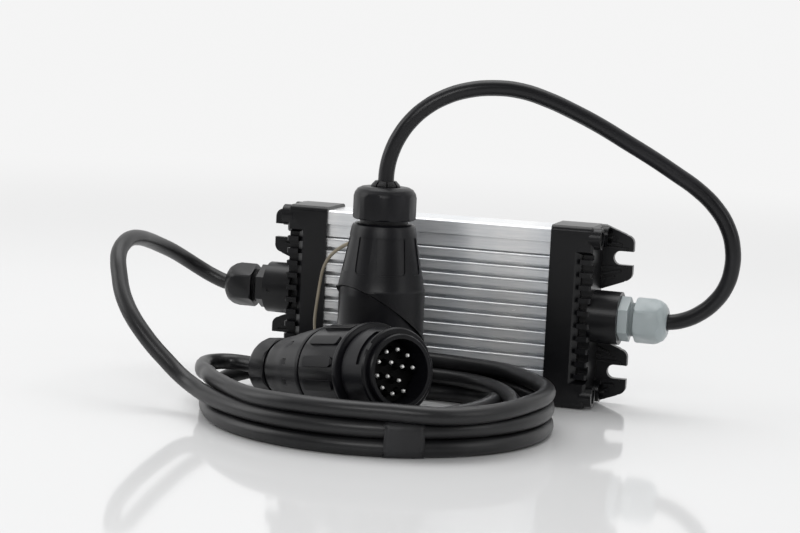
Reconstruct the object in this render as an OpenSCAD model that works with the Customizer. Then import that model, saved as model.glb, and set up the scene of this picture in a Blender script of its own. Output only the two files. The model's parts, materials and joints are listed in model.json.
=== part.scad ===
// Brake controller unit: a finned aluminium housing between two moulded end caps, with a cable
// gland in each cap, and a coiled lead that joins a 13-pin plug and a 13-pin in-line socket.
// Origin: bottom centre of the housing. +X towards the grey gland, +Y towards the mounting
// lugs, +Z up. Millimetres.

/* [Housing] */
// Height over the end caps
cap_h = 110; // [104:1:120]
// Depth of the end caps, front to back
cap_d = 34; // [33:0.5:38]
// Length of each end cap along X
cap_len = 26; // [24:1:30]
// Length of the extrusion that shows between the caps
bare_len = 142; // [132:1:180]
// Spacing of the cooling fins
fin_pitch = 7.7; // [7:0.1:8]
// Height of the front face of one fin
fin_face = 5.2; // [4:0.1:6]
// Thickness of the extrusion's walls
wall = 2.4; // [2:0.1:3]

/* [Mounting lugs] */
// Thickness of a lug plate
lug_t = 4.5; // [3:0.5:6]
// Width of the open slot in a lug
slot_w = 8.5; // [6:0.5:9]
// Height of the upper slots above the base
slot_high = 90; // [86:1:94]
// Height of the lower slots above the base
slot_low = 20; // [20:1:24]

/* [Glands and leads] */
// Diameter of the boss that carries a gland
boss_d = 32; // [28:1:34]
// Length of that boss
boss_len = 16; // [12:1:20]
// Diameter of the trailer lead, from the black gland to the plug
lead_d = 9.6; // [8:0.2:10]
// Diameter of the vehicle lead, from the grey gland to the socket
socket_lead_d = 9.4; // [8:0.2:10]

/* [Plug and socket] */
// Outer diameter of the plug's contact barrel
barrel_d = 39; // [38:0.5:40]
// Diameter of the locking collar's grip
grip_d = 50; // [48:0.5:52]
// Diameter of a compression nut
nut_d = 37; // [34:1:38]
// Diameter of the socket's outer shell
shell_d = 52; // [50:1:54]
// Heading of the plug about Z, from -Y
plug_heading = 54; // [50:1:58]
// Tilt of the plug's nose above the surface
plug_tilt = 9; // [6:1:10]

/* [Hidden] */
$fn = 48;
half_len = bare_len / 2 + cap_len;
cap_x = bare_len / 2;
cap_front = -cap_d / 2;
cap_back = cap_d / 2;
pocket_depth = 5;
gasket_t = 0.8;
extrusion_half = cap_x + pocket_depth - gasket_t;
ext_bottom = 2;
ext_top = cap_h - 2;
ext_front = -15.5;
ext_back = 15;
fin_front = -15;
groove_y = -8.5;
inner_front = groove_y + wall;
inner_back = ext_back - wall;
inner_bottom = ext_bottom + 4;
inner_top = ext_top - 4;
flange_top = 13.7;
band_y = -13.5;
band_top = 99.5;
fin_count = 10;
corner_y = [-11, 10.5, -11, 10.5];
corner_z = [103, 103, 7.5, 7.5];
screw_d = 4;
screw_bore = screw_d + 0.1;
boss_end = half_len + boss_len;
gland_z = cap_h / 2;
gland_bore = 12;
lead_r = lead_d / 2;
socket_lead_r = socket_lead_d / 2;
plug_rim = [27, -163, 40];
socket_at = [-18, -66, 0];
barrel_r = barrel_d / 2;
barrel_back_r = barrel_r - 0.2;
rim_r = barrel_r + 0.8;
sleeve_r = 23.8;
nut_r = nut_d / 2;
shell_r = shell_d / 2;
pin_ring_r = 12;
pin_pitch = 36;
pin_start = 6.5;
inner_ring_r = 5.5;
lid_heading = 200;
hinge_r = 31.5;
hinge_z = 9;
coil_at = [-3, -110];
coil_r = 88;
coil_half = 8;
coil_bulge = 13;
layer_h = 20;
coil_h = 29;
tape_t = 0.8;
board_y = 5;
board_t = 1.6;
core_d = 1.7;
core_count = 13;
core_pitch = 3.5;
clamp_x = [-17, 17];
clamp_z = 80.4;

// Trailer lead: from inside the left cap, out of the black gland and down to the coil.
trailer_route = [
    [-91, 0, 55], [-125, 0, 55], [-142, 0, 55.3], [-152, -1, 58.5], [-161, -5, 64], [-167, -12, 69.5],
    [-171, -24, 75.5], [-173.5, -38, 80.5], [-174, -54, 85], [-173, -70, 88], [-172, -84, 88.8],
    [-170.5, -96, 87], [-168.5, -106, 83], [-165, -114, 77.5], [-161, -120, 71], [-156.5, -126, 64],
    [-151, -131, 57], [-144.5, -135, 50], [-137, -137.5, 42.5], [-129, -139, 35], [-120.5, -140, 28],
    [-111.5, -142, 21.5], [-101, -147, 17]
];

// Vehicle lead: from the socket's clamp, over the housing in one arch, into the right cap.
vehicle_route = [
    [-18, -66, 112], [-18, -66, 131], [-17.5, -66, 141], [-15, -66, 151], [-11, -65.5, 160],
    [-5, -64, 169], [3, -61.5, 177], [13, -58, 183.5], [25, -53.5, 188], [39, -47.5, 190],
    [54, -41, 189], [69, -35, 184.5], [84, -29.5, 178], [99, -24.5, 170.5], [114, -20.5, 162],
    [129, -17, 153.5], [143, -14.5, 145], [156, -12, 136.5], [167, -10.5, 126.5], [174.5, -9, 115],
    [178, -8, 103], [178, -6.5, 91], [175, -5, 80], [169, -3, 70.5], [161, -1.5, 63],
    [151, -0.5, 57.5], [141, 0, 55.2], [125, 0, 55], [91, 0, 55]
];

// End of the lead, from the coil's back into the plug's clamp.
plug_route = [
    [-98, -132, 18], [-104, -124, 20], [-110.5, -110, 20.4], [-115, -98, 19.8], [-116.5, -88.5, 19.2],
    [-115, -80.5, 18.7], [-111, -75, 18.4], [-105, -73, 18.2], [-98, -74.2, 18.2], [-89.5, -78.5, 18.5],
    [-81, -84.6, 18.9], [-62.5, -97.9, 22.5]
];

// Loose tail of the cable tie, from its head up behind the socket.
tail_route = [
    [-58.5, -39, 24], [-61.5, -38, 33], [-64, -37, 43], [-65, -37, 53], [-63, -38, 63],
    [-59, -39.5, 72], [-53, -40, 81], [-46, -40, 88], [-38, -39, 93]
];

// ---------- helpers ----------

// Extrudes a (Y, Z) outline along X from x0
module along_x(x0, length) {
    translate([x0, 0, 0]) rotate([90, 0, 90]) linear_extrude(length) children();
}

// Cylinder along +X from x0
module x_cylinder(x0, length, r, y = 0, z = 0) {
    translate([x0, y, z]) rotate([0, 90, 0]) cylinder(h = length, r = r);
}

// Puts a right-hand piece on the side that is named
module on_side(side) {
    mirror([side == "left" ? 1 : 0, 0, 0]) children();
}

module rounded_rect(w, h, r) {
    for (x = [r - w / 2, w / 2 - r], y = [r - h / 2, h / 2 - r]) translate([x, y]) circle(r);
    square([w - 2 * r, h], center = true);
    square([w, h - 2 * r], center = true);
}

// Plug axis: local +Z points out of the pins, local 0 is the rim
module at_plug() {
    translate(plug_rim) rotate([90 - plug_tilt, 0, plug_heading]) children();
}

module at_socket() {
    translate(socket_at) children();
}

function unit(v) = v / norm(v);
function tangent(p, i) = unit(p[min(i + 1, len(p) - 1)] - p[max(i - 1, 0)]);
function carried(n, t) = unit(n - (n * t) * t);
function normals(p, n, i = 0) =
    let (m = carried(n, tangent(p, i)))
    i == len(p) - 1 ? [m] : concat([m], normals(p, m, i + 1));

// Sweeps an outline of (along normal, along binormal) points along a route, as one closed solid
module sweep(route, outline, start_normal = [0, 1, 0]) {
    ring = len(outline);
    last = (len(route) - 1) * ring;
    side_normals = normals(route, start_normal);
    polyhedron(
        points = [for (i = [0:len(route) - 1], o = outline)
            route[i] + o[0] * side_normals[i] + o[1] * cross(tangent(route, i), side_normals[i])],
        faces = concat(
            [[for (j = [0:ring - 1]) j]],
            [[for (j = [ring - 1:-1:0]) last + j]],
            [for (i = [0:len(route) - 2], j = [0:ring - 1]) let (k = (j + 1) % ring)
                [i * ring + j, (i + 1) * ring + j, (i + 1) * ring + k, i * ring + k]]
        )
    );
}

function round_outline(r, sides) = [for (j = [0:sides - 1]) r * [cos(360 * j / sides), sin(360 * j / sides)]];

module lead(route, r) {
    sweep(route, round_outline(r, 12));
}

// ---------- housing ----------

// Front edge of one fin, from its foot up to its lip and back into the groove
function fin_points(top, foot) = [
    [fin_front, foot], [fin_front, top - 1.3], [ext_front, top - 0.9], [ext_front, top - 0.3],
    [ext_front + 0.3, top], [groove_y, top]
];

module housing_outline() {
    polygon(concat(
        [[ext_front + 1, ext_bottom]],
        fin_points(flange_top, ext_bottom + 1),
        [for (k = [1:fin_count]) let (top = flange_top + k * fin_pitch)
            each concat([[groove_y, top - fin_face]], fin_points(top, top - fin_face))],
        [[groove_y, flange_top + fin_count * fin_pitch + 1], [band_y, flange_top + fin_count * fin_pitch + 1],
            [band_y, band_top], [ext_front, band_top], [ext_front, ext_top - 1],
            [ext_front + 1, ext_top], [ext_back - 1, ext_top], [ext_back, ext_top - 1],
            [ext_back, ext_bottom + 1], [ext_back - 1, ext_bottom]]
    ));
}

// Hollow for the electronics, with board slots and solid corners for the rear screws
module housing_hollow() {
    difference() {
        translate([inner_front, inner_bottom]) square([inner_back - inner_front, inner_top - inner_bottom]);
        for (z = [corner_z[0], corner_z[2]])
            translate([corner_y[1] - 3, z - 5]) square([10, 10]);
    }
    translate([board_y - 0.1, inner_bottom - 1.5])
        square([board_t + 0.2, inner_top - inner_bottom + 3]);
}

module housing() {
    color("silver") difference() {
        along_x(-extrusion_half, 2 * extrusion_half) difference() {
            housing_outline();
            housing_hollow();
        }
        for (i = [0:3], end = [-1, 1])
            x_cylinder(end > 0 ? extrusion_half - 18 : -extrusion_half - 1, 19, screw_bore / 2, corner_y[i], corner_z[i]);
        for (x = clamp_x)
            translate([x, inner_front + 1, clamp_z]) rotate([90, 0, 0]) cylinder(h = 6.4, r = 1.55);
    }
}

// ---------- end caps ----------

vent_x = half_len - 7;
vent_low = 17;
vent_high = 93;
vent_depth = 6;
comb_t = 3;

module vent_recess() {
    translate([vent_x, cap_front - 1, vent_low])
        cube([cap_len, vent_depth + 1, vent_high - vent_low]);
    hull() {
        translate([vent_x - 3.6, cap_front - 0.1, vent_low - 2])
            cube([cap_len, 0.1, vent_high - vent_low + 4]);
        translate([vent_x, cap_front + 3.5, vent_low]) cube([cap_len, 0.1, vent_high - vent_low]);
    }
}

module vent_comb() {
    for (k = [0:fin_count - 1])
        translate([vent_x - 0.5, cap_front + 0.6, flange_top + fin_pitch * (k + 1) - 3.4])
            cube([8, vent_depth, comb_t]);
}

// Lug plate with an open slot and fan ribs on its front, around the slot's height
lug_tip_x = half_len + 19;
slot_end_x = half_len + 7;

module lug_outline() {
    difference() {
        union() {
            polygon([[half_len - 3, -19.5], [half_len + 1, -19.5], [half_len + 14, -14.5], [half_len + 17.6, -11.5],
                [lug_tip_x, -8], [lug_tip_x, 8], [half_len + 17.6, 11.5], [half_len + 14, 14.5],
                [half_len + 1, 19.5], [half_len - 3, 19.5]]);
            translate([half_len + 14, 9]) circle(5);
            translate([half_len + 14, -9]) circle(5);
        }
        translate([slot_end_x + slot_w / 2, 0]) circle(slot_w / 2);
        translate([slot_end_x + slot_w / 2, -slot_w / 2]) square([slot_w * 2, slot_w]);
    }
}

module lug(z) {
    translate([0, cap_back, z]) rotate([90, 0, 0]) linear_extrude(lug_t) lug_outline();
    for (end = [-1, 1], step = [0:2])
        translate([half_len - 1, cap_back - lug_t - 1.5, z + end * (6.4 + 4.2 * step)])
            rotate([0, end * (3 + 9 * step), 0]) translate([0, 0, -0.7]) cube([16.5 - 3.2 * step, 2.5, 1.4]);
}

module cap_body() {
    hull() {
        along_x(cap_x, cap_len - 1.6) translate([0, cap_h / 2]) rounded_rect(cap_d, cap_h, 3.5);
        along_x(half_len - 0.1, 0.1) translate([0, cap_h / 2]) rounded_rect(cap_d - 3, cap_h - 3, 3);
    }
}

module corner_boss(i) {
    x_cylinder(half_len - 3, 7, 6.5, corner_y[i], corner_z[i]);
}

module cap(side) {
    color([0.1, 0.1, 0.11]) on_side(side) difference() {
        union() {
            difference() {
                cap_body();
                vent_recess();
            }
            intersection() {
                vent_comb();
                cap_body();
            }
            lug(slot_high);
            lug(slot_low);
            for (i = [0:3]) corner_boss(i);
            x_cylinder(half_len - 2, boss_len + 2, boss_d / 2, 0, gland_z);
        }
        along_x(cap_x - 1, pocket_depth + 1)
            translate([ext_front - 0.1, ext_bottom - 0.1])
            square([ext_back - ext_front + 0.2, ext_top - ext_bottom + 0.2]);
        along_x(cap_x + pocket_depth - 1, 16)
            translate([cap_front + vent_depth + 2.5, inner_bottom + 7.5])
            square([inner_back - cap_front - vent_depth - 2.5, inner_top - inner_bottom - 15]);
        x_cylinder(half_len - 8, boss_len + 9, 10.1, 0, gland_z);
        for (i = [0:3]) {
            x_cylinder(cap_x, cap_len + 6, screw_bore / 2 + 0.2, corner_y[i], corner_z[i]);
            x_cylinder(half_len + 0.5, 5, 4.3, corner_y[i], corner_z[i]);
        }
        if (side == "left") translate([boss_end - 4.5, -boss_d / 2 + 0.6, gland_z])
            rotate([90, 0, 0]) cylinder(h = 3, r = 1.4);
    }
}

module gasket(side) {
    color("dimgray") on_side(side) along_x(extrusion_half, gasket_t) difference() {
        translate([groove_y + 0.3, ext_bottom + 0.3])
            square([ext_back - groove_y - 0.6, ext_top - ext_bottom - 0.6]);
        translate([inner_front, inner_bottom + 6])
            square([inner_back - inner_front, inner_top - inner_bottom - 12]);
        for (i = [0:3]) translate([corner_y[i], corner_z[i]]) circle(screw_bore / 2 + 0.2);
    }
}

module cap_screw(side, i) {
    color("gainsboro") on_side(side) translate([half_len + 0.5, corner_y[i - 1], corner_z[i - 1]])
        rotate([0, 90, 0]) difference() {
            union() {
                translate([0, 0, -38]) cylinder(h = 38.5, r = screw_d / 2);
                cylinder(h = 2.6, r = 3.9);
            }
            translate([0, 0, 1]) cylinder(h = 3, r = 1.9, $fn = 6);
        }
}

// ---------- electronics ----------

module circuit_board() {
    color("darkgreen") translate([-70, board_y, inner_bottom - 1.4])
        cube([140, board_t, inner_top - inner_bottom + 2.8]);
}

// Moulded chip on the board's front face, with legs along two or four edges
module chip(x, z, w, h, t, legs, all_round) {
    translate([x, board_y, z]) rotate([90, 0, 0]) {
        color("black") translate([-w / 2, -h / 2, 0.15]) cube([w, h, t]);
        color("silver") for (i = [0:legs - 1]) {
            along = (i + 0.5) / legs - 0.5;
            translate([along * w * 0.9 - 0.2, -h / 2 - 0.9, 0]) cube([0.4, h + 1.8, 0.3]);
            if (all_round) translate([-w / 2 - 0.9, along * h * 0.9 - 0.2, 0]) cube([w + 1.8, 0.4, 0.3]);
        }
    }
}

transistor_x = [-34, 0, 34];

module power_transistor(i) {
    translate([transistor_x[i - 1], inner_front, 70]) {
        color("black") difference() {
            translate([-7.9, 0, 0]) cube([15.8, 5, 20.8]);
            translate([0, -1, 17]) rotate([-90, 0, 0]) cylinder(h = 7, r = 1.8);
        }
        color("silver") for (leg = [-5.4, 0, 5.4]) translate([leg - 0.6, 2.4, -6]) {
            cube([1.2, 0.6, 6.5]);
            cube([1.2, board_y - inner_front - 2.4, 0.6]);
        }
    }
}

module clamp_bar() {
    color("gray") difference() {
        translate([-48, inner_front + 5, 74.4]) cube([96, 2, 9]);
        for (x = clamp_x) translate([x, inner_front + 4, clamp_z]) rotate([-90, 0, 0]) cylinder(h = 5, r = 1.7);
    }
}

module clamp_screws() {
    color("gainsboro") for (x = clamp_x) translate([x, 0, clamp_z]) rotate([90, 0, 0]) difference() {
        union() {
            translate([0, 0, -inner_front - 7]) cylinder(h = 12, r = 1.5);
            translate([0, 0, -inner_front - 9.2]) cylinder(h = 2.2, r = 2.7);
        }
        translate([0, 0, -inner_front - 10]) cylinder(h = 1.8, r = 1.3, $fn = 6);
    }
}

// Electrolytic capacitor lying along X, with its two wires bent into the board
module capacitor(i) {
    translate([i == 1 ? -48 : -22, -0.4, 47]) {
        color("midnightblue") rotate([0, 90, 0]) rotate_extrude()
            polygon([[0, 0], [4.7, 0], [5, 0.4], [5, 2], [4.6, 2.6], [5, 3.2], [5, 20], [0, 20]]);
        color("silver") for (z = [-2.5, 2.5]) translate([-2, -0.3, z - 0.3]) {
            cube([2.2, 0.6, 0.6]);
            cube([0.6, board_y + 0.7, 0.6]);
        }
    }
}

module inductor() {
    color("peru") translate([18, board_y, 45]) rotate([90, 0, 0])
        rotate_extrude() translate([4, 0.1]) square([6, 8]);
}

block_x = 52;
block_len = 13;
block_h = core_pitch * core_count + 2;
function core_z(i) = gland_z + core_pitch * (i - (core_count - 1) / 2);

module terminal_block(side) {
    color("seagreen") on_side(side) difference() {
        translate([block_x, -4.6, gland_z - block_h / 2]) cube([block_len, board_y + 4.6, block_h]);
        for (i = [0:core_count - 1]) {
            x_cylinder(block_x + 6, block_len, core_d / 2 + 0.15, 0, core_z(i));
            translate([block_x + 4, -5, core_z(i)]) rotate([-90, 0, 0]) cylinder(h = 3, r = 1.2);
        }
    }
}

// Cores fan out from the sheath's end, packed in two rings, to the block's entries
function sheath_spot(i) = i < 3 ? 1.1 * [cos(120 * i), sin(120 * i)]
    : 3.4 * [cos(36 * (i - 3)), sin(36 * (i - 3))];
function ease(t) = t * t * (3 - 2 * t);
function core_point(i, t) = [
    90.8 - t * (90.8 - block_x - block_len),
    (1 - ease(t)) * sheath_spot(i)[0],
    gland_z + (1 - ease(t)) * sheath_spot(i)[1] + ease(t) * (core_z(i) - gland_z)
];

module inner_cores(side) {
    color("brown") on_side(side) for (i = [0:core_count - 1])
        sweep([for (t = [0, 0.12, 0.3, 0.5, 0.68, 0.82, 1]) core_point(i, t)], round_outline(core_d / 2, 6));
}

// ---------- glands ----------

hex_end = boss_end + 6;
neck_end = boss_end + 18;
nut_start = boss_end + 9.5;
nut_end = boss_end + 28.5;

module gland_colour(side) {
    color(side == "right" ? [0.62, 0.66, 0.68] : [0.12, 0.12, 0.13]) children();
}

module gland_body(side) {
    gland_colour(side) on_side(side) translate([0, 0, gland_z]) rotate([0, 90, 0]) difference() {
        union() {
            translate([0, 0, half_len - 6]) cylinder(h = boss_len + 6, r = 10);
            translate([0, 0, boss_end]) cylinder(h = 6, r = 13.8, $fn = 6);
            translate([0, 0, hex_end]) cylinder(h = 12, r = 9.7);
            for (turn = [0:8]) translate([0, 0, hex_end + 0.5 + 1.3 * turn]) cylinder(h = 0.7, r = 10.2);
        }
        translate([0, 0, half_len - 8]) cylinder(h = 50, r = gland_bore / 2);
        translate([0, 0, hex_end + 2]) cylinder(h = 20, r = 8.3);
    }
}

module gland_seal(side) {
    cable_r = side == "right" ? socket_lead_r : lead_r;
    color("black") on_side(side) translate([0, 0, gland_z]) rotate([0, 90, 0]) rotate_extrude()
        polygon([[cable_r, hex_end + 2], [8.2, hex_end + 2], [8.2, neck_end + 1], [7.2, nut_end - 5],
            [cable_r, nut_end - 5]]);
}

module gland_nut(side) {
    gland_colour(side) on_side(side) translate([0, 0, gland_z]) rotate([0, 90, 0]) difference() {
        intersection() {
            rotate_extrude() polygon([[0, nut_start], [13, nut_start], [13.7, nut_start + 0.8],
                [13.7, nut_end - 8], [12.9, nut_end - 5], [11.1, nut_end - 2], [8.8, nut_end - 0.4],
                [7.6, nut_end], [0, nut_end]]);
            cylinder(h = nut_end + 1, r = 14.1, $fn = 6);
        }
        translate([0, 0, nut_start - 1]) cylinder(h = neck_end - nut_start + 2, r = 10.3);
        translate([0, 0, nut_start]) cylinder(h = nut_end - nut_start - 3, r = 8.6);
        translate([0, 0, nut_start]) cylinder(h = 30, r = lead_r + 0.4);
    }
}

// ---------- coil, tape and tie ----------

// Ring seen from above: outer edge grown and inner edge shrunk by the given margins
module coil_outline(shrink) {
    difference() {
        translate(coil_at) stadium(coil_r + 5 - shrink, -coil_half - coil_bulge, coil_half);
        translate([-14.5, -109.5]) stadium(71.5 + shrink, -3, 3);
    }
}

module stadium(r, x0, x1) {
    translate([x0, 0]) circle(r, $fn = 96);
    translate([x1, 0]) circle(r, $fn = 96);
    translate([x0, -r]) square([x1 - x0, 2 * r]);
}

module lower_coil(shrink) {
    translate([0, 0, shrink]) linear_extrude(layer_h - 2 * shrink) coil_outline(shrink);
}

module tape_zone() {
    translate([38, -200, -1]) rotate([0, 0, 21]) translate([-9, -12, 0]) cube([18, 50, layer_h + 2]);
}

module tie_zone() {
    translate([-58, -40, -1]) rotate([0, 0, 33]) translate([-2.4, -25, 0]) cube([4.8, 60, layer_h + 2]);
}

// Skin of the lower layers where a band goes round them
module coil_band(thickness) {
    intersection() {
        difference() {
            lower_coil(0);
            lower_coil(thickness);
        }
        children();
    }
}

module coil_tape() {
    color([0.2, 0.2, 0.21]) coil_band(tape_t) tape_zone();
}

module coil_tie() {
    color([0.15, 0.15, 0.15]) {
        coil_band(1.2) tie_zone();
        translate([-57.5, -40, layer_h - 1]) rotate([0, 0, 33]) translate([-3.5, -3, 0]) cube([7, 6, 5]);
        sweep(tail_route, [[0.6, 1.8], [-0.6, 1.8], [-0.6, -1.8], [0.6, -1.8]]);
    }
}

module lead_coil() {
    color([0.16, 0.16, 0.17]) difference() {
        union() {
            lower_coil(0);
            translate([0, 0, layer_h]) linear_extrude(coil_h - layer_h) difference() {
                translate([-10, coil_at[1]]) stadium(coil_r + 5, -coil_half - 3, coil_half + 3);
                translate([-14.5, coil_at[1]]) stadium(coil_r - 12, -6, 6);
            }
        }
        coil_tape();
        coil_band(1.2) tie_zone();
        translate([-57.5, -40, layer_h - 1]) rotate([0, 0, 33]) translate([-4.5, -30, 0]) cube([9, 38, 20]);
    }
}

// ---------- plug ----------

// Hollow turned shell around the local axis
module turned(outline) {
    rotate_extrude($fn = 96) polygon(outline);
}

nut_flats = 8;

// Nut outline with its open end at z = 0 and its rounded end at z = length
module compression_nut(length, aperture) {
    difference() {
        intersection() {
            turned([[0, 0], [nut_r - 0.8, 0], [nut_r, 0.8], [nut_r, length - 6], [nut_r - 0.6, length - 3.6],
                [nut_r - 2.2, length - 1.4], [nut_r - 4.6, length - 0.2], [nut_r - 6, length], [0, length]]);
            rotate([0, 0, 360 / nut_flats * 0.4]) cylinder(h = length + 1, r = nut_r + 0.75, $fn = nut_flats);
        }
        translate([0, 0, -1]) cylinder(h = length - 1, r = 14.2);
        translate([0, 0, -1]) cylinder(h = length + 3, r = aperture);
    }
}

// Split clamp that grips a lead, mouth up
module cable_clamp(r) {
    difference() {
        turned([[r, 0], [12, 0], [12, 6.4], [8.5, 9.4], [8.5, 12.6], [7.9, 13.4], [6.2, 15.2], [r, 15.2]]);
        for (i = [0:7]) rotate([0, 0, 45 * i + 22.5]) translate([r + 1.4, -0.5, 4]) cube([10, 1, 12]);
    }
}

module threaded_neck(length) {
    turned([[12.2, 0], [14, 0], [14, length - 0.6], [13.4, length], [12.2, length]]);
}

module plug_nut() {
    color([0.13, 0.13, 0.14]) at_plug() translate([0, 0, -111]) mirror([0, 0, 1]) compression_nut(19, 8.8);
}

module plug_clamp() {
    color([0.2, 0.2, 0.2]) at_plug() translate([0, 0, -118]) mirror([0, 0, 1]) cable_clamp(lead_r);
}

module plug_rear_shell() {
    color([0.14, 0.14, 0.15]) at_plug() {
        difference() {
            turned([[0, -64.6], [24.6, -64.6], [24.9, -66], [24.6, -68], [21.3, -89], [19.9, -96], [18.4, -107],
                [17.2, -110.2], [0, -110.2]]);
            turned([[0, -64], [22, -64], [22, -68], [18.6, -89], [17.2, -96], [15.6, -106], [12.2, -108],
                [12.2, -111], [0, -111]]);
            for (i = [0:11]) rotate([0, 0, 30 * i + 15]) translate([0, 0, -84])
                rotate([8.5, 0, 0]) translate([-1.6, 21.4, -14]) cube([3.2, 3, 14]);
        }
        translate([0, 0, -126]) threaded_neck(17);
    }
}

// Bayonet groove: in from the front edge of the barrel's sleeve, then round with the twist
module bayonet_groove(angle) {
    rotate([0, 0, angle]) {
        rotate([0, 0, 28]) translate([sleeve_r - 1.1, -2.4, -8]) cube([3, 4.8, 9]);
        rotate_extrude(angle = 55, $fn = 96) translate([sleeve_r - 1.1, -9.2]) square([3, 4.6]);
    }
}

module plug_barrel() {
    color([0.12, 0.12, 0.13]) at_plug() difference() {
        turned([[17.6, 0], [rim_r - 0.6, 0], [rim_r, -0.6], [rim_r, -3], [sleeve_r - 0.8, -3], [sleeve_r, -3.8],
            [sleeve_r, -22], [barrel_back_r, -22], [barrel_back_r, -58], [17.6, -58]]);
        for (angle = [112, 232, 352]) bayonet_groove(angle);
    }
}

rib_count = 12;

module plug_collar() {
    grip_r = grip_d / 2;
    color([0.12, 0.12, 0.13]) at_plug() difference() {
        union() {
            turned([[barrel_back_r, -24], [25.4, -24], [26.3, -24.5], [26.7, -25.4], [26.7, -27], [26.3, -27.9],
                [25.5, -28.4], [grip_r - 0.3, -28.6], [grip_r - 0.3, -62.6], [grip_r - 0.8, -64],
                [barrel_back_r, -64]]);
            for (i = [0:rib_count - 1]) rotate([0, 0, (i + 0.5) * 360 / rib_count]) intersection() {
                turned([[grip_r - 1, -30.6], [grip_r + 0.9, -31.8], [grip_r + 0.9, -58], [grip_r - 1, -59.4]]);
                union() {
                    translate([0, -3, -56]) cube([30, 6, 22]);
                    for (z = [-34, -56]) translate([0, 0, z]) rotate([0, 90, 0]) cylinder(h = 30, r = 3);
                }
            }
        }
        translate([0, 0, -65]) cylinder(h = 7, r = 19.6);
    }
}

module plug_seal() {
    color("black") at_plug() turned([[barrel_back_r, -24], [22.8, -24], [22.8, -22.1], [barrel_back_r, -22.1]]);
}

function ring_spots(count, r, start, pitch) =
    [for (i = [0:count - 1]) r * [cos(start + pitch * i), sin(start + pitch * i)]];
contact_spots = concat(ring_spots(9, pin_ring_r, pin_start, pin_pitch), ring_spots(4, inner_ring_r, pin_start + 18, 90));

module plug_insert() {
    color([0.1, 0.1, 0.1]) at_plug() difference() {
        turned([[0, -13], [16.8, -13], [17.3, -13.5], [17.3, -58.3], [19.2, -58.3], [19.2, -64.3],
            [21.9, -64.3], [21.9, -67.6], [0, -67.6]]);
        rotate([0, 0, pin_start - pin_pitch]) translate([15.4, -1.6, -24]) cube([4, 3.2, 12]);
        for (p = contact_spots) translate([p[0], p[1], -70]) cylinder(h = 60, r = 1.3, $fn = 24);
        for (p = contact_spots) translate([p[0], p[1], -15]) cylinder(h = 5, r = 2, $fn = 24);
    }
}

module plug_pins() {
    color("gainsboro") at_plug() for (p = contact_spots) translate([p[0], p[1], 0])
        rotate_extrude($fn = 24) polygon([[0, -5], [0.7, -5.1], [1.15, -5.9], [1.15, -62], [0, -62]]);
}

// ---------- socket ----------

module socket_nut() {
    color([0.13, 0.13, 0.14]) at_socket() translate([0, 0, 110.8]) compression_nut(19, 8.8);
}

module socket_clamp() {
    color([0.2, 0.2, 0.2]) at_socket() translate([0, 0, 118]) cable_clamp(socket_lead_r);
}

// The shell's lower edge slants down towards +X and up towards the front
slant_z = 54.5;
slant_tilt = 35.8;
slant_heading = 53.4;

// Half-space under the slanted edge, raised by lift
module under_slant(lift) {
    translate([0, 0, slant_z + lift]) rotate([0, slant_tilt, slant_heading])
        translate([-60, -60, -120]) cube([120, 120, 120]);
}

panel_low = 80;
panel_high = 101;

module socket_shell() {
    color([0.14, 0.14, 0.15]) at_socket() {
        difference() {
            turned([[0, 108.3], [16.6, 108.3], [18.2, 107.4], [18.9, 105.6], [25.3, 71.4], [25.6, 70.6],
                [shell_r, 70], [shell_r, 20], [0, 20]]);
            turned([[0, 109], [12.2, 109], [12.2, 105], [15.6, 103], [24, 71.4], [24.9, 66], [24.9, 10], [0, 10]]);
            under_slant(0);
            socket_panels();
        }
        translate([0, 0, 107]) threaded_neck(17);
        intersection() {
            turned([[24.9, 69.9], [shell_r + 0.7, 69.9], [shell_r + 0.7, 10], [24.9, 10]]);
            difference() {
                under_slant(2.6);
                under_slant(0);
            }
        }
    }
}

// Shallow recessed panels round the cone, wide and narrow in turn, with rounded feet
module socket_panels() {
    intersection() {
        difference() {
            turned([[30, 106], [30, 72], [0, 72], [0, 106]]);
            turned([[0, 72], [24.6, 72], [18.2, 106], [0, 106]]);
        }
        for (i = [0:3]) {
            rotate([0, 0, 90 * i - 58]) socket_panel(17);
            rotate([0, 0, 90 * i - 103]) socket_panel(9);
        }
    }
}

module socket_panel(w) {
    corner = 2.5;
    rotate([90, 0, 90]) linear_extrude(40) {
        translate([-w / 2, panel_low + corner]) square([w, panel_high - panel_low - corner]);
        translate([-w / 2 + corner, panel_low]) square([w - 2 * corner, corner + 1]);
        for (x = [corner - w / 2, w / 2 - corner]) translate([x, panel_low + corner]) circle(corner);
    }
}

module socket_barrel() {
    color([0.11, 0.11, 0.12]) at_socket() {
        difference() {
            turned([[19.8, 6], [24.2, 6], [24.8, 6.6], [24.8, 66], [23.8, 71.2], [20.6, 83], [17.5, 83],
                [17.5, 50], [19.8, 50]]);
            for (angle = [60, 180, 300]) rotate([0, 0, angle]) translate([19, -2, 12]) cube([2.4, 4, 40]);
        }
        rotate([0, 0, lid_heading]) difference() {
            hull() {
                translate([hinge_r, 2.6, hinge_z]) rotate([90, 0, 0]) cylinder(h = 5.2, r = 3.2, $fn = 32);
                translate([23.5, -2.6, 6.4]) cube([1, 5.2, 16]);
            }
            translate([hinge_r, 5, hinge_z]) rotate([90, 0, 0]) cylinder(h = 10, r = 1.3);
            translate([0, 0, -1]) cylinder(h = 60, r = 23);
        }
    }
}

module socket_insert() {
    color([0.1, 0.1, 0.1]) at_socket() difference() {
        turned([[0, 12], [16.8, 12], [17.3, 12.5], [17.3, 49], [17.5, 50], [17.5, 56], [0, 56]]);
        for (p = contact_spots) translate([p[0], p[1], 11]) cylinder(h = 46, r = 1.75, $fn = 24);
    }
}

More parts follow.
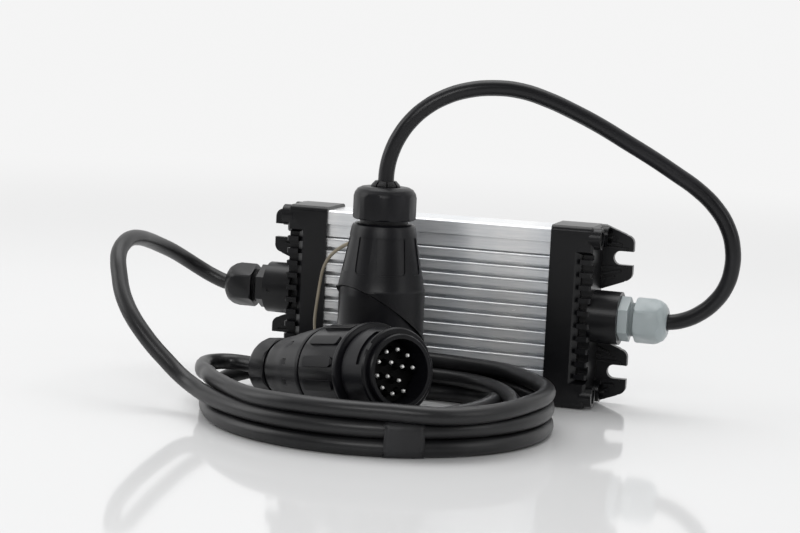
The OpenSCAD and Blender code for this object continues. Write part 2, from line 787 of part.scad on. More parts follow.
module socket_contacts() {
    color("gold") at_socket() for (p = contact_spots) translate([p[0], p[1], 0])
        rotate_extrude($fn = 24) polygon([[1.2, 13], [1.7, 13], [1.7, 60], [0, 60], [0, 40], [1.2, 40]]);
}

module socket_lid() {
    color([0.12, 0.12, 0.13]) at_socket() difference() {
        union() {
            turned([[0, 0], [24.6, 0], [25.4, 0.8], [25.4, 3.6], [0, 3.6]]);
            rotate([0, 0, lid_heading]) for (y = [-6.4, 3]) {
                translate([20, y + 0.2, 0.5]) cube([10, 3, 2.8]);
                hull() {
                    translate([hinge_r, y + 3.4, hinge_z]) rotate([90, 0, 0]) cylinder(h = 3.4, r = 3.2, $fn = 32);
                    translate([hinge_r - 5, y, 0.4]) cube([8.2, 3.4, 3.1]);
                }
            }
        }
        rotate([0, 0, lid_heading]) translate([hinge_r, 15, hinge_z]) rotate([90, 0, 0]) cylinder(h = 30, r = 1.3);
    }
}

module socket_lid_seal() {
    color("black") at_socket() turned([[0, 3.6], [23.4, 3.6], [23.4, 5.2], [22.8, 5.7], [0, 5.7]]);
}

module socket_lid_pin() {
    color("silver") at_socket() rotate([0, 0, lid_heading]) translate([hinge_r, 8.2, hinge_z]) rotate([90, 0, 0]) {
        cylinder(h = 16.4, r = 1.25);
        cylinder(h = 1, r = 2.4);
        translate([0, 0, 15.4]) cylinder(h = 1, r = 2.4);
    }
}

module socket_lid_spring() {
    color("silver") at_socket() rotate([0, 0, lid_heading]) translate([hinge_r, 0, hinge_z]) rotate([90, 0, 0])
        for (side = [-1, 1], i = [0:2]) translate([0, 0, side * (8.6 + i * 0.9)])
            rotate_extrude($fn = 32) translate([3, 0]) circle(0.45, $fn = 16);
}

// ---------- nodes ----------

housing();
for (side = ["right", "left"]) {
    cap(side);
    gasket(side);
    for (i = [1:4]) cap_screw(side, i);
    terminal_block(side);
    inner_cores(side);
    gland_body(side);
    gland_seal(side);
    gland_nut(side);
}
circuit_board();
chip(-5, 30, 12, 12, 1.4, 8, true);  // processor_chip
chip(-6, 56, 10, 7.5, 2.3, 8, false);  // driver_chip
chip(26, 26, 5, 5, 1.4, 4, false);  // inertia_sensor
for (i = [1:3]) power_transistor(i);
clamp_bar();
clamp_screws();
for (i = [1:2]) capacitor(i);
inductor();
color([0.13, 0.13, 0.14]) lead(trailer_route, lead_r);  // trailer_lead
lead_coil();
color([0.13, 0.13, 0.14]) lead(plug_route, lead_r);  // plug_lead
color([0.2, 0.2, 0.22]) lead(vehicle_route, socket_lead_r);  // vehicle_lead
coil_tape();
coil_tie();
plug_nut();
plug_clamp();
plug_rear_shell();
plug_collar();
plug_barrel();
plug_insert();
plug_pins();
plug_seal();
socket_nut();
socket_clamp();
socket_shell();
socket_barrel();
socket_insert();
socket_contacts();
socket_lid();
socket_lid_seal();
socket_lid_pin();
socket_lid_spring();
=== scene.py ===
"""Brake controller unit: finned box, two glands, a coiled lead with its plug, and an in-line socket."""

import json
import math

import bpy
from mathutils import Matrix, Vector


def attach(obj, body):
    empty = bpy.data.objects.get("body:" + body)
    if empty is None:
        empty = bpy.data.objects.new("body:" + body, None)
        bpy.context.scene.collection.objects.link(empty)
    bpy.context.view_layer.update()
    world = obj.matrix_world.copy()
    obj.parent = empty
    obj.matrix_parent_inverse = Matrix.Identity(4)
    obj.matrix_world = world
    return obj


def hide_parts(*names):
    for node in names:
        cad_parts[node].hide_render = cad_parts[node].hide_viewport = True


MM = 0.001
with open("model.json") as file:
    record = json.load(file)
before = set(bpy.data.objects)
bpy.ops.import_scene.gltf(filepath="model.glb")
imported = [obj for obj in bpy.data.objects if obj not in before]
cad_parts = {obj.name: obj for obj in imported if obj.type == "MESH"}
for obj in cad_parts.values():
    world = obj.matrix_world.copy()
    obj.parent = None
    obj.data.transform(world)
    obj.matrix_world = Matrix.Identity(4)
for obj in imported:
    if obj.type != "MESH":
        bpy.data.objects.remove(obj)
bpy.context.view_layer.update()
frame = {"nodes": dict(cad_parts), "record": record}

# ---------- sizes, in metres and degrees ----------

LEAD_D = 0.0096
SOCKET_LEAD_D = 0.0094
GLAND_Z = 0.055
LEAD_START = (-0.130, 0, GLAND_Z)

# The coil is an oval. Its outer ring has two strands, one on top of the other
COIL_CENTRE = (-0.003, -0.110)
COIL_AXES = (0.096, 0.088)
LOWER_Z = LEAD_D / 2
UPPER_Z = LOWER_Z + LEAD_D

# The plug: middle of its rim, the way that its pins point, and how far the pins' tips lie behind the rim.
# The pins show their bright plating as far back from the tip as PIN_BRIGHT, and fade to a near-black
# painted shade from the next depth on, down in the holes
RIM = Vector((0.027, -0.163, 0.040))
PLUG_HEADING = math.radians(54)
PLUG_TILT = math.radians(9)
PLUG_AXIS = Vector((
    math.cos(PLUG_TILT) * math.sin(PLUG_HEADING),
    -math.cos(PLUG_TILT) * math.cos(PLUG_HEADING),
    math.sin(PLUG_TILT),
))
PIN_TIP_BACK = 0.005
PIN_BRIGHT = 0.0008
PIN_PAINTED_SHADE = 0.0017

# Tape and tie are bands pulled round the strands, and stay just above the surface
BAND_POINTS = 64
BAND_LOWEST = 0.0001

# Tape: angles round the oval, outlines from edge to edge, gap to the strands, wrinkles and thickness
TAPE_START = 289.1
TAPE_SPAN = 12
TAPE_STEPS = 9
TAPE_GAP = 0.0007
TAPE_WRINKLE = 0.00018
TAPE_T = 0.0006

# Cable tie: outlines along X, which are close at its two edges, strands that it holds as (y, z), gap to
# them and thickness, then half the tail's width and thickness, and the way that its flat side faces
TIE_OUTLINES_X = (-0.0524, -0.0516, -0.0484, -0.0476)
TIE_STRANDS = [
    (-0.0285, 0.0138), (-0.0323, 0.0048), (-0.0500, 0.0050), (-0.0470, 0.0172), (-0.0225, 0.0242),
]
TIE_GAP = 0.0013
TIE_T = 0.0012
TAIL_HALF_W = 0.0013
TAIL_HALF_T = 0.0006
TAIL_FACING = Vector((0.45, 0.89, 0))

# ---------- camera, room and lights ----------

CAMERA_PLACE = (0.3198, -1.1139, 0.2222)
CAMERA_YAW, CAMERA_PITCH, CAMERA_ROLL = (math.radians(a) for a in (-17.318, 7.197, 2.715))
CAMERA_LENS = 85.03
CAMERA_SENSOR = 36

# The room is bright the way of the backdrop and dim behind the camera, with a soft change between
BACKDROP_WAY = (-0.28, 0.94, 0.20)
ROOM_SPREAD = 0.55
ROOM_DIM = 0.10
ROOM_BRIGHT = 0.91

# Distances from the middle over which the floor fades into the backdrop
FADE_START = 0.45
FADE_END = 1.9
FLOOR_SIZE = 30
FLOOR_DROP = 0.0002

# Name, width, height, watts, place, and the point that the light faces
LIGHTS = [
    ("overhead", 1.4, 0.9, 9, (-0.1, 0.25, 1.4), (0, -0.05, 0.05)),
    ("left_side", 0.8, 1.2, 6.5, (-1.5, -0.5, 0.8), (0, -0.1, 0.06)),
    ("right_side", 0.5, 1.0, 3, (1.5, -0.4, 0.7), (0, -0.05, 0.06)),
    ("front", 1.5, 0.8, 19, (0.25, -2.4, 1.35), (0.05, 0, 0.05)),
]

# ---------- looks ----------

# Slot: darker colour, paler colour, roughness, then grain scale, grain depth and specular where they
# aren't the usual ones
MOULDED = {
    "cap_plastic": ((0.003, 0.003, 0.004), (0.006, 0.006, 0.007), 0.30, 900, 0.2, 0.36),
    "gasket_rubber": ((0.02, 0.02, 0.02), (0.03, 0.03, 0.03), 0.7),
    "board": ((0.01, 0.08, 0.03), (0.015, 0.11, 0.045), 0.35, 500, 0.1),
    "chip_black": ((0.015, 0.015, 0.015), (0.025, 0.025, 0.025), 0.5),
    "capacitor_sleeve": ((0.01, 0.015, 0.06), (0.015, 0.02, 0.08), 0.25, 300, 0.05),
    "terminal_green": ((0.02, 0.20, 0.09), (0.03, 0.26, 0.12), 0.4),
    "core_sheath": ((0.30, 0.10, 0.04), (0.36, 0.13, 0.05), 0.4),
    "gland_grey": ((0.37, 0.42, 0.43), (0.45, 0.50, 0.51), 0.30, 700, 0.15),
    "gland_black": ((0.006, 0.006, 0.007), (0.010, 0.010, 0.011), 0.34),
    "seal_rubber": ((0.005, 0.005, 0.005), (0.009, 0.009, 0.009), 0.55),
    "lead_sheath": ((0.006, 0.006, 0.007), (0.011, 0.011, 0.012), 0.37, 420, 0.15, 0.46),
    "vehicle_sheath": ((0.005, 0.005, 0.006), (0.009, 0.009, 0.011), 0.32, 420, 0.15, 0.34),
    "cloth_tape": ((0.014, 0.014, 0.015), (0.024, 0.024, 0.026), 0.42, 1500, 0.5),
    "tie_nylon": ((0.21, 0.18, 0.13), (0.32, 0.28, 0.21), 0.3, 300, 0.08),
    "connector_shell": ((0.004, 0.004, 0.005), (0.008, 0.008, 0.010), 0.36, 900, 0.25, 0.28),
    "clamp_plastic": ((0.005, 0.005, 0.006), (0.009, 0.009, 0.010), 0.40, 900, 0.25, 0.3),
    "collar_plastic": ((0.004, 0.004, 0.005), (0.007, 0.007, 0.009), 0.30, 900, 0.2, 0.2),
    "insert_plastic": ((0.001, 0.001, 0.001), (0.002, 0.002, 0.002), 0.6, 900, 0.2, 0.12),
}

# Slot: darker colour, paler colour, roughness
METALS = {
    "screw_steel": ((0.03, 0.03, 0.032), (0.06, 0.06, 0.062), 0.34),
    "clamp_steel": ((0.55, 0.56, 0.57), (0.66, 0.67, 0.68), 0.36),
    "copper_winding": ((0.60, 0.26, 0.12), (0.75, 0.34, 0.17), 0.3),
    "contact_metal": ((0.75, 0.58, 0.24), (0.85, 0.68, 0.30), 0.22),
    "hinge_steel": ((0.45, 0.46, 0.47), (0.58, 0.59, 0.60), 0.3),
}

# How far the roughness goes below and above a slot's own, and how deep the bumps are
SMOOTHER = 0.06
ROUGHER = 0.08
GRAIN_DEPTH = 0.00012
MARK_DEPTH = 0.00008

# Widths of the broken edges on CAD pieces, and the least angle between faces that has one
EDGE = {"cap_right": 0.0007, "cap_left": 0.0007}
USUAL_EDGE = 0.0004
EDGE_ANGLE = math.radians(32)
WELD_GAP = 0.000002

# ---------- routes: points in metres; turns as (angle in degrees, mm in from the oval, mm high) ----------

# From the black gland out to the left, over and down to the coil
OUT_ROUTE = [
    (-0.1415, 0, 0.055), (-0.152, -0.001, 0.0585), (-0.161, -0.005, 0.064), (-0.167, -0.012, 0.0695),
    (-0.171, -0.024, 0.0755), (-0.1735, -0.038, 0.0805), (-0.174, -0.054, 0.085),
    (-0.173, -0.07, 0.088), (-0.172, -0.084, 0.0888), (-0.1705, -0.096, 0.087),
    (-0.1685, -0.106, 0.083), (-0.165, -0.114, 0.0775), (-0.161, -0.12, 0.071),
    (-0.1565, -0.126, 0.064), (-0.151, -0.131, 0.057), (-0.1445, -0.135, 0.05),
    (-0.137, -0.1375, 0.0425), (-0.129, -0.139, 0.035), (-0.1205, -0.14, 0.028),
    (-0.1115, -0.142, 0.0215), (-0.101, -0.147, 0.017),
]

# Upper strand of the outer ring
FIRST_TURN = [
    (217, -2, 14.8), (228, 0, 14.5), (270, 0, 14.4), (360, 0, 14.4), (450, 0, 14.4), (470, -0.5, 14.4),
]

# Wide swing at the left, down from the upper strand to the lower one
LEFT_SWING = [
    (-0.05, -0.0285, 0.0138), (-0.064, -0.0305, 0.013), (-0.078, -0.033, 0.012),
    (-0.091, -0.0378, 0.0108), (-0.102, -0.0455, 0.0096), (-0.1095, -0.056, 0.0084),
    (-0.113, -0.069, 0.0072), (-0.113, -0.083, 0.0061), (-0.1105, -0.097, 0.0053),
    (-0.1065, -0.111, 0.0048),
]

# Lower strand of the outer ring
SECOND_TURN = [
    (550, -3, 4.8), (565, 0, 4.8), (630, 0, 4.8), (720, 0, 4.8), (810, 0, 4.8), (830, -0.3, 4.8),
]

# The lead doubles back behind the plug
BACK_LOOP = [
    (-0.052, -0.0325, 0.0048), (-0.065, -0.035, 0.0048), (-0.0775, -0.0375, 0.0048),
    (-0.0875, -0.043, 0.0048), (-0.0925, -0.052, 0.0048), (-0.0905, -0.062, 0.0048),
    (-0.0825, -0.068, 0.0048), (-0.0725, -0.067, 0.0048), (-0.0635, -0.0615, 0.0048),
    (-0.055, -0.054, 0.0048), (-0.0465, -0.047, 0.0048), (-0.0375, -0.041, 0.0048),
    (-0.028, -0.037, 0.0048),
]

# Smallest loop inside the ring, under the plug's barrel and back
INNER_LOOP = [
    (-0.018, -0.035, 0.0048), (-0.006, -0.034, 0.0048), (0.006, -0.0335, 0.0048),
    (0.018, -0.0335, 0.005), (0.029, -0.036, 0.0056), (0.038, -0.0415, 0.0066), (0.0455, -0.05, 0.008),
    (0.051, -0.06, 0.0096), (0.055, -0.071, 0.0112), (0.058, -0.084, 0.0128), (0.0593, -0.098, 0.014),
    (0.059, -0.112, 0.0147), (0.0562, -0.126, 0.0149), (0.0505, -0.139, 0.0149),
    (0.043, -0.1495, 0.0144), (0.033, -0.1575, 0.0118), (0.021, -0.1615, 0.0092),
    (0.008, -0.161, 0.0066), (-0.005, -0.1595, 0.0055), (-0.018, -0.161, 0.0048),
    (-0.0275, -0.168, 0.0048), (-0.029, -0.1775, 0.0048), (-0.0215, -0.185, 0.0048),
    (-0.0095, -0.1875, 0.0049),
]

# Second inner loop
UPPER_TURN = [
    (270, 10.4, 5.2), (280, 10.4, 6.8), (290, 10.8, 9.5), (301, 11.2, 12.5), (315, 12, 14),
    (335, 14, 14.8), (354, 15.6, 15.2), (368, 18, 15.6), (386, 19.3, 16.2), (405, 17, 16),
    (425, 11.5, 15), (440, 10.4, 14.6), (458, 10.4, 14.4),
]

# The lead doubles back again, and climbs on top of the ring
TOP_LOOP = [
    (-0.03, -0.035, 0.0146), (-0.041, -0.04, 0.0157), (-0.051, -0.0475, 0.0173),
    (-0.0605, -0.0545, 0.0195), (-0.0705, -0.058, 0.0215), (-0.08, -0.055, 0.023),
    (-0.085, -0.046, 0.0238), (-0.083, -0.0355, 0.0243), (-0.075, -0.0275, 0.0244),
    (-0.0635, -0.0235, 0.0244), (-0.051, -0.0225, 0.0242), (-0.038, -0.0232, 0.0238),
    (-0.026, -0.025, 0.0232),
]

# Top strand, run the other way round
TOP_TURN = [
    (94, 4.5, 22.8), (80, 4.5, 22.8), (65, 4.5, 23.2), (50, 4, 24), (36, 4, 24), (24, 2, 24),
    (12, 0, 24), (0, -0.5, 24), (-15, -1, 24), (-30, -3, 23.3), (-45, -5, 22.8), (-57, -5, 23.2),
    (-68, -2, 24), (-80, 0, 24), (-100, 0.5, 23.8), (-117, 1.5, 22.9), (-133, 4, 22.4), (-146, 4, 22.1),
    (-157, 1, 21.9), (-166, -2, 21.7),
]

# Round the left end and into the plug's clamp
BACK_ROUTE = [
    (-0.104, -0.124, 0.0212), (-0.1105, -0.11, 0.0205), (-0.115, -0.098, 0.0198),
    (-0.1165, -0.0885, 0.0192), (-0.115, -0.0805, 0.0187), (-0.111, -0.075, 0.0184),
    (-0.105, -0.073, 0.0182), (-0.098, -0.0742, 0.0182), (-0.0895, -0.0785, 0.0185),
    (-0.081, -0.0846, 0.0189), (-0.074, -0.0897, 0.02),
]

# From the grey gland, over the box in one arch and down into the socket's clamp
SOCKET_ROUTE = [
    (0.128, 0, 0.055), (0.141, 0, 0.0552), (0.151, -0.0005, 0.0575), (0.161, -0.0015, 0.063),
    (0.169, -0.003, 0.0705), (0.175, -0.005, 0.080), (0.178, -0.0065, 0.091), (0.178, -0.008, 0.103),
    (0.1745, -0.009, 0.115), (0.167, -0.0105, 0.1265), (0.156, -0.012, 0.1365), (0.143, -0.0145, 0.145),
    (0.129, -0.017, 0.1535), (0.114, -0.0205, 0.162), (0.099, -0.0245, 0.1705), (0.084, -0.0295, 0.178),
    (0.069, -0.035, 0.1845), (0.054, -0.041, 0.189), (0.039, -0.0475, 0.190), (0.025, -0.0535, 0.188),
    (0.013, -0.058, 0.1835), (0.003, -0.0615, 0.177), (-0.005, -0.064, 0.169), (-0.011, -0.0655, 0.160),
    (-0.015, -0.066, 0.151), (-0.0175, -0.066, 0.141), (-0.018, -0.066, 0.131), (-0.018, -0.066, 0.121),
]

# Loose tail of the cable tie
TAIL_ROUTE = [
    (-0.050, -0.036, 0.0235), (-0.059, -0.037, 0.025), (-0.066, -0.037, 0.029),
    (-0.0696, -0.037, 0.0365), (-0.0688, -0.037, 0.048), (-0.0673, -0.037, 0.060),
    (-0.066, -0.037, 0.071), (-0.0637, -0.0375, 0.078), (-0.0599, -0.038, 0.0836),
    (-0.0549, -0.039, 0.0877), (-0.0502, -0.039, 0.0906), (-0.0452, -0.039, 0.0928),
]


# ---------- camera, floor and light ----------


def add_camera():
    yaw, pitch, roll = CAMERA_YAW, CAMERA_PITCH, CAMERA_ROLL
    forward = Vector((math.sin(yaw) * math.cos(pitch), math.cos(yaw) * math.cos(pitch), -math.sin(pitch)))
    level = Vector((math.cos(yaw), -math.sin(yaw), 0))
    lift = level.cross(forward)
    right = math.cos(roll) * level + math.sin(roll) * lift
    up = -math.sin(roll) * level + math.cos(roll) * lift
    data = bpy.data.cameras.new("camera")
    data.lens, data.sensor_width = CAMERA_LENS, CAMERA_SENSOR
    camera = bpy.data.objects.new("camera", data)
    bpy.context.scene.collection.objects.link(camera)
    matrix = camera.matrix_world.copy()
    for row in range(3):
        matrix[row][0], matrix[row][1], matrix[row][2] = right[row], up[row], -forward[row]
    matrix.translation = CAMERA_PLACE
    camera.matrix_world = matrix
    bpy.context.scene.camera = camera


def add_light(name, width, height, watts, place, aim):
    data = bpy.data.lights.new(name, "AREA")
    data.shape, data.size, data.size_y = "RECTANGLE", width, height
    data.energy = watts
    light = bpy.data.objects.new(name, data)
    light.location = place
    light.rotation_euler = (Vector(aim) - Vector(place)).to_track_quat("-Z", "Y").to_euler()
    bpy.context.scene.collection.objects.link(light)


def add_world():
    """White backdrop behind the object, with the room dim on the camera's side."""
    world = bpy.data.worlds.new("studio")
    bpy.context.scene.world = world
    world.use_nodes = True
    tree = world.node_tree
    place = tree.nodes.new("ShaderNodeTexCoord")
    facing = tree.nodes.new("ShaderNodeVectorMath")
    facing.operation = "DOT_PRODUCT"
    facing.inputs[1].default_value = BACKDROP_WAY
    tree.links.new(place.outputs["Generated"], facing.inputs[0])
    shade = spread(tree, facing.outputs["Value"], (-ROOM_SPREAD, ROOM_SPREAD), (ROOM_DIM, ROOM_BRIGHT))
    background = tree.nodes["Background"]
    background.inputs["Color"].default_value = (1, 1, 1, 1)
    tree.links.new(shade.outputs["Result"], background.inputs["Strength"])


def add_studio():
    bpy.context.scene.view_settings.view_transform = "Standard"
    add_world()
    for light in LIGHTS:
        add_light(*light)
    bpy.ops.mesh.primitive_plane_add(size=FLOOR_SIZE)
    floor = bpy.context.object
    floor.name = "floor"
    floor.location.z = -FLOOR_DROP
    paint(floor, floor_board())


# ---------- materials ----------


def shader(name):
    material = bpy.data.materials.new(name)
    material.use_nodes = True
    tree = material.node_tree
    return material, tree, tree.nodes["Principled BSDF"]


def paint(piece, material):
    piece.data.materials.clear()
    piece.data.materials.append(material)


def noise(tree, scale, detail=3.0, stretch=(1, 1, 1)):
    """Noise in object coordinates, as a 0 to 1 output socket."""
    place = tree.nodes.new("ShaderNodeTexCoord")
    mapping = tree.nodes.new("ShaderNodeMapping")
    mapping.inputs["Scale"].default_value = stretch
    texture = tree.nodes.new("ShaderNodeTexNoise")
    texture.inputs["Scale"].default_value = scale
    texture.inputs["Detail"].default_value = detail
    tree.links.new(place.outputs["Object"], mapping.inputs["Vector"])
    tree.links.new(mapping.outputs["Vector"], texture.inputs["Vector"])
    return texture.outputs["Fac"]


def ramp(tree, factor, low, high, start=0.35, end=0.65):
    """Colour that runs from low to high as the factor goes from start to end."""
    node = tree.nodes.new("ShaderNodeValToRGB")
    node.color_ramp.elements[0].position, node.color_ramp.elements[1].position = start, end
    node.color_ramp.elements[0].color = (*low, 1)
    node.color_ramp.elements[1].color = (*high, 1)
    tree.links.new(factor, node.inputs["Fac"])
    return node.outputs["Color"]


def spread(tree, factor, from_range=(0, 1), to_range=(0, 1)):
    """Node that runs over to_range as the factor runs over from_range."""
    node = tree.nodes.new("ShaderNodeMapRange")
    node.inputs["From Min"].default_value, node.inputs["From Max"].default_value = from_range
    node.inputs["To Min"].default_value, node.inputs["To Max"].default_value = to_range
    tree.links.new(factor, node.inputs["Value"])
    return node


def vary_roughness(tree, bsdf, factor, low, high):
    node = spread(tree, factor, to_range=(low, high))
    tree.links.new(node.outputs["Result"], bsdf.inputs["Roughness"])


def add_bump(tree, bsdf, factor, strength, distance):
    node = tree.nodes.new("ShaderNodeBump")
    node.inputs["Strength"].default_value = strength
    node.inputs["Distance"].default_value = distance
    tree.links.new(factor, node.inputs["Height"])
    tree.links.new(node.outputs["Normal"], bsdf.inputs["Normal"])


def moulded(name, low, high, roughness, grain=900, strength=0.25, specular=0.4):
    """Moulded plastic or rubber: fine spark-eroded grain and slow gloss changes."""
    material, tree, bsdf = shader(name)
    slow = noise(tree, 38)
    tree.links.new(ramp(tree, slow, low, high), bsdf.inputs["Base Color"])
    vary_roughness(tree, bsdf, slow, roughness - SMOOTHER, roughness + ROUGHER)
    add_bump(tree, bsdf, noise(tree, grain, 2), strength, GRAIN_DEPTH)
    bsdf.inputs["Specular IOR Level"].default_value = specular
    return material


def metal(name, low, high, roughness):
    """Bare or plated metal with fine handling marks."""
    material, tree, bsdf = shader(name)
    marks = noise(tree, 220, 4)
    tree.links.new(ramp(tree, marks, low, high), bsdf.inputs["Base Color"])
    vary_roughness(tree, bsdf, marks, roughness - SMOOTHER, roughness + ROUGHER)
    add_bump(tree, bsdf, marks, 0.1, MARK_DEPTH)
    bsdf.inputs["Metallic"].default_value = 1
    return material


def drawn_aluminium():
    """Extruded aluminium: fine lines along X, and broad soft bands across them, which are a painted
    reflection of the room.
    """
    material, tree, bsdf = shader("extrusion")
    lines = noise(tree, 900, 4, (0.06, 1, 1))
    # The broad soft bands across X are painted reflection: lighter and darker stripes put into the base
    # colour.
    painted_reflection_bands = ramp(tree, noise(tree, 34, 1.5, (1, 0.02, 0.02)), (0.84, 0.86, 0.89), (1, 1, 1), 0.38, 0.60)
    streaks = ramp(tree, lines, (0.88, 0.89, 0.90), (1, 1, 1))
    mixed = tree.nodes.new("ShaderNodeMix")
    mixed.data_type, mixed.blend_type = "RGBA", "MULTIPLY"
    mixed.inputs["Factor"].default_value = 1
    tree.links.new(painted_reflection_bands, mixed.inputs["A"])
    tree.links.new(streaks, mixed.inputs["B"])
    tree.links.new(mixed.outputs["Result"], bsdf.inputs["Base Color"])
    vary_roughness(tree, bsdf, lines, 0.19, 0.30)
    add_bump(tree, bsdf, lines, 0.12, MARK_DEPTH)
    bsdf.inputs["Metallic"].default_value = 0.5
    return material


def pin_plating():
    """Bright plating at the rounded tips, fading to painted shade down in the holes of the insert."""
    material, tree, bsdf = shader("pin_metal")
    place = tree.nodes.new("ShaderNodeTexCoord")
    along = tree.nodes.new("ShaderNodeVectorMath")
    along.operation = "DOT_PRODUCT"
    along.inputs[1].default_value = PLUG_AXIS
    tree.links.new(place.outputs["Object"], along.inputs[0])
    tip = PLUG_AXIS.dot(RIM) - PIN_TIP_BACK
    depth = spread(tree, along.outputs["Value"], (tip - PIN_PAINTED_SHADE, tip - PIN_BRIGHT))
    # The near-black end of this ramp is painted shade in the insert's holes; the pale end is the plating.
    dull, bright = (0.012, 0.012, 0.012), (0.95, 0.95, 0.93)
    tree.links.new(ramp(tree, depth.outputs["Result"], dull, bright, 0, 1), bsdf.inputs["Base Color"])
    vary_roughness(tree, bsdf, noise(tree, 600), 0.30, 0.38)
    bsdf.inputs["Metallic"].default_value = 0.6
    return material


def floor_board():
    """Smooth white board that reflects a little, and fades into the backdrop further out."""
    material, tree, bsdf = shader("floor_white")
    dull, pale = (0.77, 0.772, 0.775), (0.79, 0.792, 0.795)
    tree.links.new(ramp(tree, noise(tree, 1.5), dull, pale), bsdf.inputs["Base Color"])
    bsdf.inputs["Roughness"].default_value = 0.07
    bsdf.inputs["Specular IOR Level"].default_value = 0.30
    place = tree.nodes.new("ShaderNodeTexCoord")
    reach = tree.nodes.new("ShaderNodeVectorMath")
    reach.operation = "LENGTH"
    tree.links.new(place.outputs["Object"], reach.inputs[0])
    fade = spread(tree, reach.outputs["Value"], (FADE_START, FADE_END))
    fade.interpolation_type = "SMOOTHSTEP"
    backdrop = tree.nodes.new("ShaderNodeEmission")
    backdrop.inputs["Strength"].default_value = ROOM_BRIGHT
    mixed = tree.nodes.new("ShaderNodeMixShader")
    tree.links.new(fade.outputs["Result"], mixed.inputs["Fac"])
    tree.links.new(bsdf.outputs["BSDF"], mixed.inputs[1])
    tree.links.new(backdrop.outputs["Emission"], mixed.inputs[2])
    tree.links.new(mixed.outputs["Shader"], tree.nodes["Material Output"].inputs["Surface"])
    return material


def make_materials():
    """One material for each of the record's slots."""
    made = {name: moulded(name, *look) for name, look in MOULDED.items()}
    made.update({name: metal(name, *look) for name, look in METALS.items()})
    made["extrusion"] = drawn_aluminium()
    made["pin_metal"] = pin_plating()
    return made


# ---------- CAD pieces ----------


def dress_node(name, piece, material):
    """Gives a CAD piece its material, smooth curves and slightly broken edges."""
    paint(piece, material)
    normals = piece.data.attributes.get("custom_normal")
    if normals:
        piece.data.attributes.remove(normals)
    for face in piece.data.polygons:
        face.use_smooth = True
    weld = piece.modifiers.new("weld", "WELD")
    weld.merge_threshold = WELD_GAP
    bevel = piece.modifiers.new("edges", "BEVEL")
    bevel.width = EDGE.get(name, USUAL_EDGE)
    bevel.segments = 2
    bevel.limit_method = "ANGLE"
    bevel.angle_limit = EDGE_ANGLE
    bevel.harden_normals = True
    bevel.use_clamp_overlap = True


def dress_nodes(materials):
    """Every CAD piece gets the material of its slot in the record."""
    for part in frame["record"]["subparts"]:
        dress_node(part["node"], frame["nodes"][part["node"]], materials[part["material_slot"]])


# ---------- cords ----------


def eased(keys, angle):
    """(inset, height) on a smooth line through the keys at an angle."""
    at = next((i for i in range(len(keys) - 2) if angle <= keys[i + 1][0]), len(keys) - 2)

    def slope(i, part):
        before, after = keys[max(i - 1, 0)], keys[min(i + 1, len(keys) - 1)]
        return (after[part] - before[part]) / (after[0] - before[0])

    step = keys[at + 1][0] - keys[at][0]
    t = (angle - keys[at][0]) / step
    return [
        (2 * t**3 - 3 * t * t + 1) * keys[at][part]
        + (t**3 - 2 * t * t + t) * step * slope(at, part)
        + (3 * t * t - 2 * t**3) * keys[at + 1][part]
        + (t**3 - t * t) * step * slope(at + 1, part)
        for part in (1, 2)
    ]


def on_oval(angle, inset, height):
    """Point over the coil's oval, with the inset and the height in mm."""
    turn = math.radians(angle)
    return Vector((
        COIL_CENTRE[0] + (COIL_AXES[0] - inset * MM) * math.cos(turn),
        COIL_CENTRE[1] + (COIL_AXES[1] - inset * MM) * math.sin(turn),
        height * MM,
    ))


def turns(keys, step=7.5):
    """Points along part of the coil, whichever way its angles run."""
    if keys[-1][0] < keys[0][0]:
        return turns(keys[::-1], step)[::-1]
    first, last = keys[0][0], keys[-1][0]
    count = round((last - first) / step)
    angles = [first + (last - first) * k / count for k in range(count + 1)]
    return [on_oval(angle, *eased(keys, angle)) for angle in angles]


def tube(name, points, diameter, material):
    """Round cord along the points, in one length."""
    data = bpy.data.curves.new(name, "CURVE")
    data.dimensions = "3D"
    data.resolution_u = 4
    data.bevel_depth = diameter / 2
    data.bevel_resolution = 6
    data.use_fill_caps = True
    data.twist_mode = "MINIMUM"
    spline = data.splines.new("BEZIER")
    spline.bezier_points.add(len(points) - 1)
    for knot, point in zip(spline.bezier_points, points):
        knot.co = point
        knot.handle_left_type = knot.handle_right_type = "AUTO"
    piece = bpy.data.objects.new(name, data)
    bpy.context.scene.collection.objects.link(piece)
    paint(piece, material)
    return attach(piece, "root")


def trailer_points():
    """The trailer lead from inside the black gland to the plug, in one length."""
    return (
        [LEAD_START] + OUT_ROUTE + turns(FIRST_TURN) + LEFT_SWING + turns(SECOND_TURN)
        + BACK_LOOP + INNER_LOOP + turns(UPPER_TURN) + TOP_LOOP + turns(TOP_TURN) + BACK_ROUTE
    )


def mesh_piece(name, verts, faces, material):
    data = bpy.data.meshes.new(name)
    data.from_pydata([tuple(v) for v in verts], [], faces)
    data.validate()
    for face in data.polygons:
        face.use_smooth = True
    piece = bpy.data.objects.new(name, data)
    bpy.context.scene.collection.objects.link(piece)
    paint(piece, material)
    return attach(piece, "root")


# ---------- tape and tie ----------


def hull_loop(circles, radius):
    """Outline of a band pulled tight round circles, as (across, up) pairs."""
    loop = []
    for k in range(BAND_POINTS):
        turn = 2 * math.pi * k / BAND_POINTS
        way = (math.cos(turn), math.sin(turn))
        hold = max(circles, key=lambda c: c[0] * way[0] + c[1] * way[1])
        loop.append((hold[0] + radius * way[0], max(hold[1] + radius * way[1], BAND_LOWEST)))
    return loop


def closed_grid(rings, count):
    """Faces between rings of count points each."""
    return [
        (r * count + k, r * count + (k + 1) % count, (r + 1) * count + (k + 1) % count, (r + 1) * count + k)
        for r in range(rings - 1)
        for k in range(count)
    ]


def add_shell(piece, thickness):
    shell = piece.modifiers.new("thickness", "SOLIDIFY")
    shell.thickness = thickness
    shell.offset = -1
    return piece


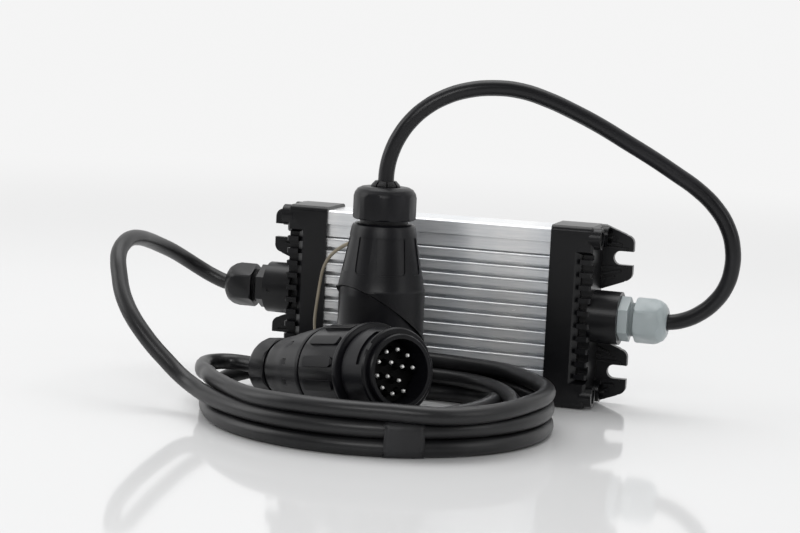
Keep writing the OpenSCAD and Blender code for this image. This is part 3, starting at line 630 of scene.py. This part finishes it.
def make_tape(material):
    """Cloth tape whose two edges wander, the middle of the band much less so."""
    verts = []
    for step in range(TAPE_STEPS):
        along = step / (TAPE_STEPS - 1)
        angle = TAPE_START + TAPE_SPAN * along
        edge = (2 * along - 1) ** 3
        wrinkle = TAPE_WRINKLE * math.sin(2.4 * step)
        inner, rise = eased(UPPER_TURN, angle)
        circles = [(0, LOWER_Z), (0, UPPER_Z), (inner * MM, rise * MM)]
        for k, (across, up) in enumerate(hull_loop(circles, LEAD_D / 2 + TAPE_GAP + wrinkle)):
            ragged = edge * (0.35 * math.sin(0.8 * k) + 0.22 * math.sin(2.1 * k + edge))
            verts.append(on_oval(angle + ragged, across / MM, up / MM))
    faces = closed_grid(TAPE_STEPS, BAND_POINTS)
    return add_shell(mesh_piece("coil_tape_wrap", verts, faces, material), TAPE_T)


def make_tie_band(material):
    loop = hull_loop(TIE_STRANDS, LEAD_D / 2 + TIE_GAP)
    verts = [(x, y, z) for x in TIE_OUTLINES_X for y, z in loop]
    faces = closed_grid(len(TIE_OUTLINES_X), BAND_POINTS)
    return add_shell(mesh_piece("coil_tie_band", verts, faces, material), TIE_T)


def make_tie_tail(material):
    """Flat strip along its route, four corners to a point."""
    verts = []
    last = len(TAIL_ROUTE) - 1
    for at, point in enumerate(TAIL_ROUTE):
        near, far = TAIL_ROUTE[max(at - 1, 0)], TAIL_ROUTE[min(at + 1, last)]
        way = (Vector(far) - Vector(near)).normalized()
        wide = way.cross(TAIL_FACING).normalized()
        thick = way.cross(wide)
        for a, b in ((1, 1), (-1, 1), (-1, -1), (1, -1)):
            verts.append(Vector(point) + TAIL_HALF_W * a * wide + TAIL_HALF_T * b * thick)
    ends = [(3, 2, 1, 0), tuple(range(len(verts) - 4, len(verts)))]
    tail = mesh_piece("coil_tie_tail", verts, closed_grid(len(TAIL_ROUTE), 4) + ends, material)
    smooth = tail.modifiers.new("smooth", "SUBSURF")
    smooth.levels = smooth.render_levels = 2
    return tail


def make_cords(materials):
    tape = make_tape(materials["cloth_tape"])
    band = make_tie_band(materials["tie_nylon"])
    tail = make_tie_tail(materials["tie_nylon"])
    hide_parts("coil_tape")
    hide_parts("coil_tie")
    trailer = tube("trailer_cord", trailer_points(), LEAD_D, materials["lead_sheath"])
    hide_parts("trailer_lead", "lead_coil", "plug_lead")
    vehicle = tube("vehicle_cord", SOCKET_ROUTE, SOCKET_LEAD_D, materials["vehicle_sheath"])
    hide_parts("vehicle_lead")


# ---------- the scene ----------

add_camera()
slot_materials = make_materials()
make_cords(slot_materials)
dress_nodes(slot_materials)
add_studio()
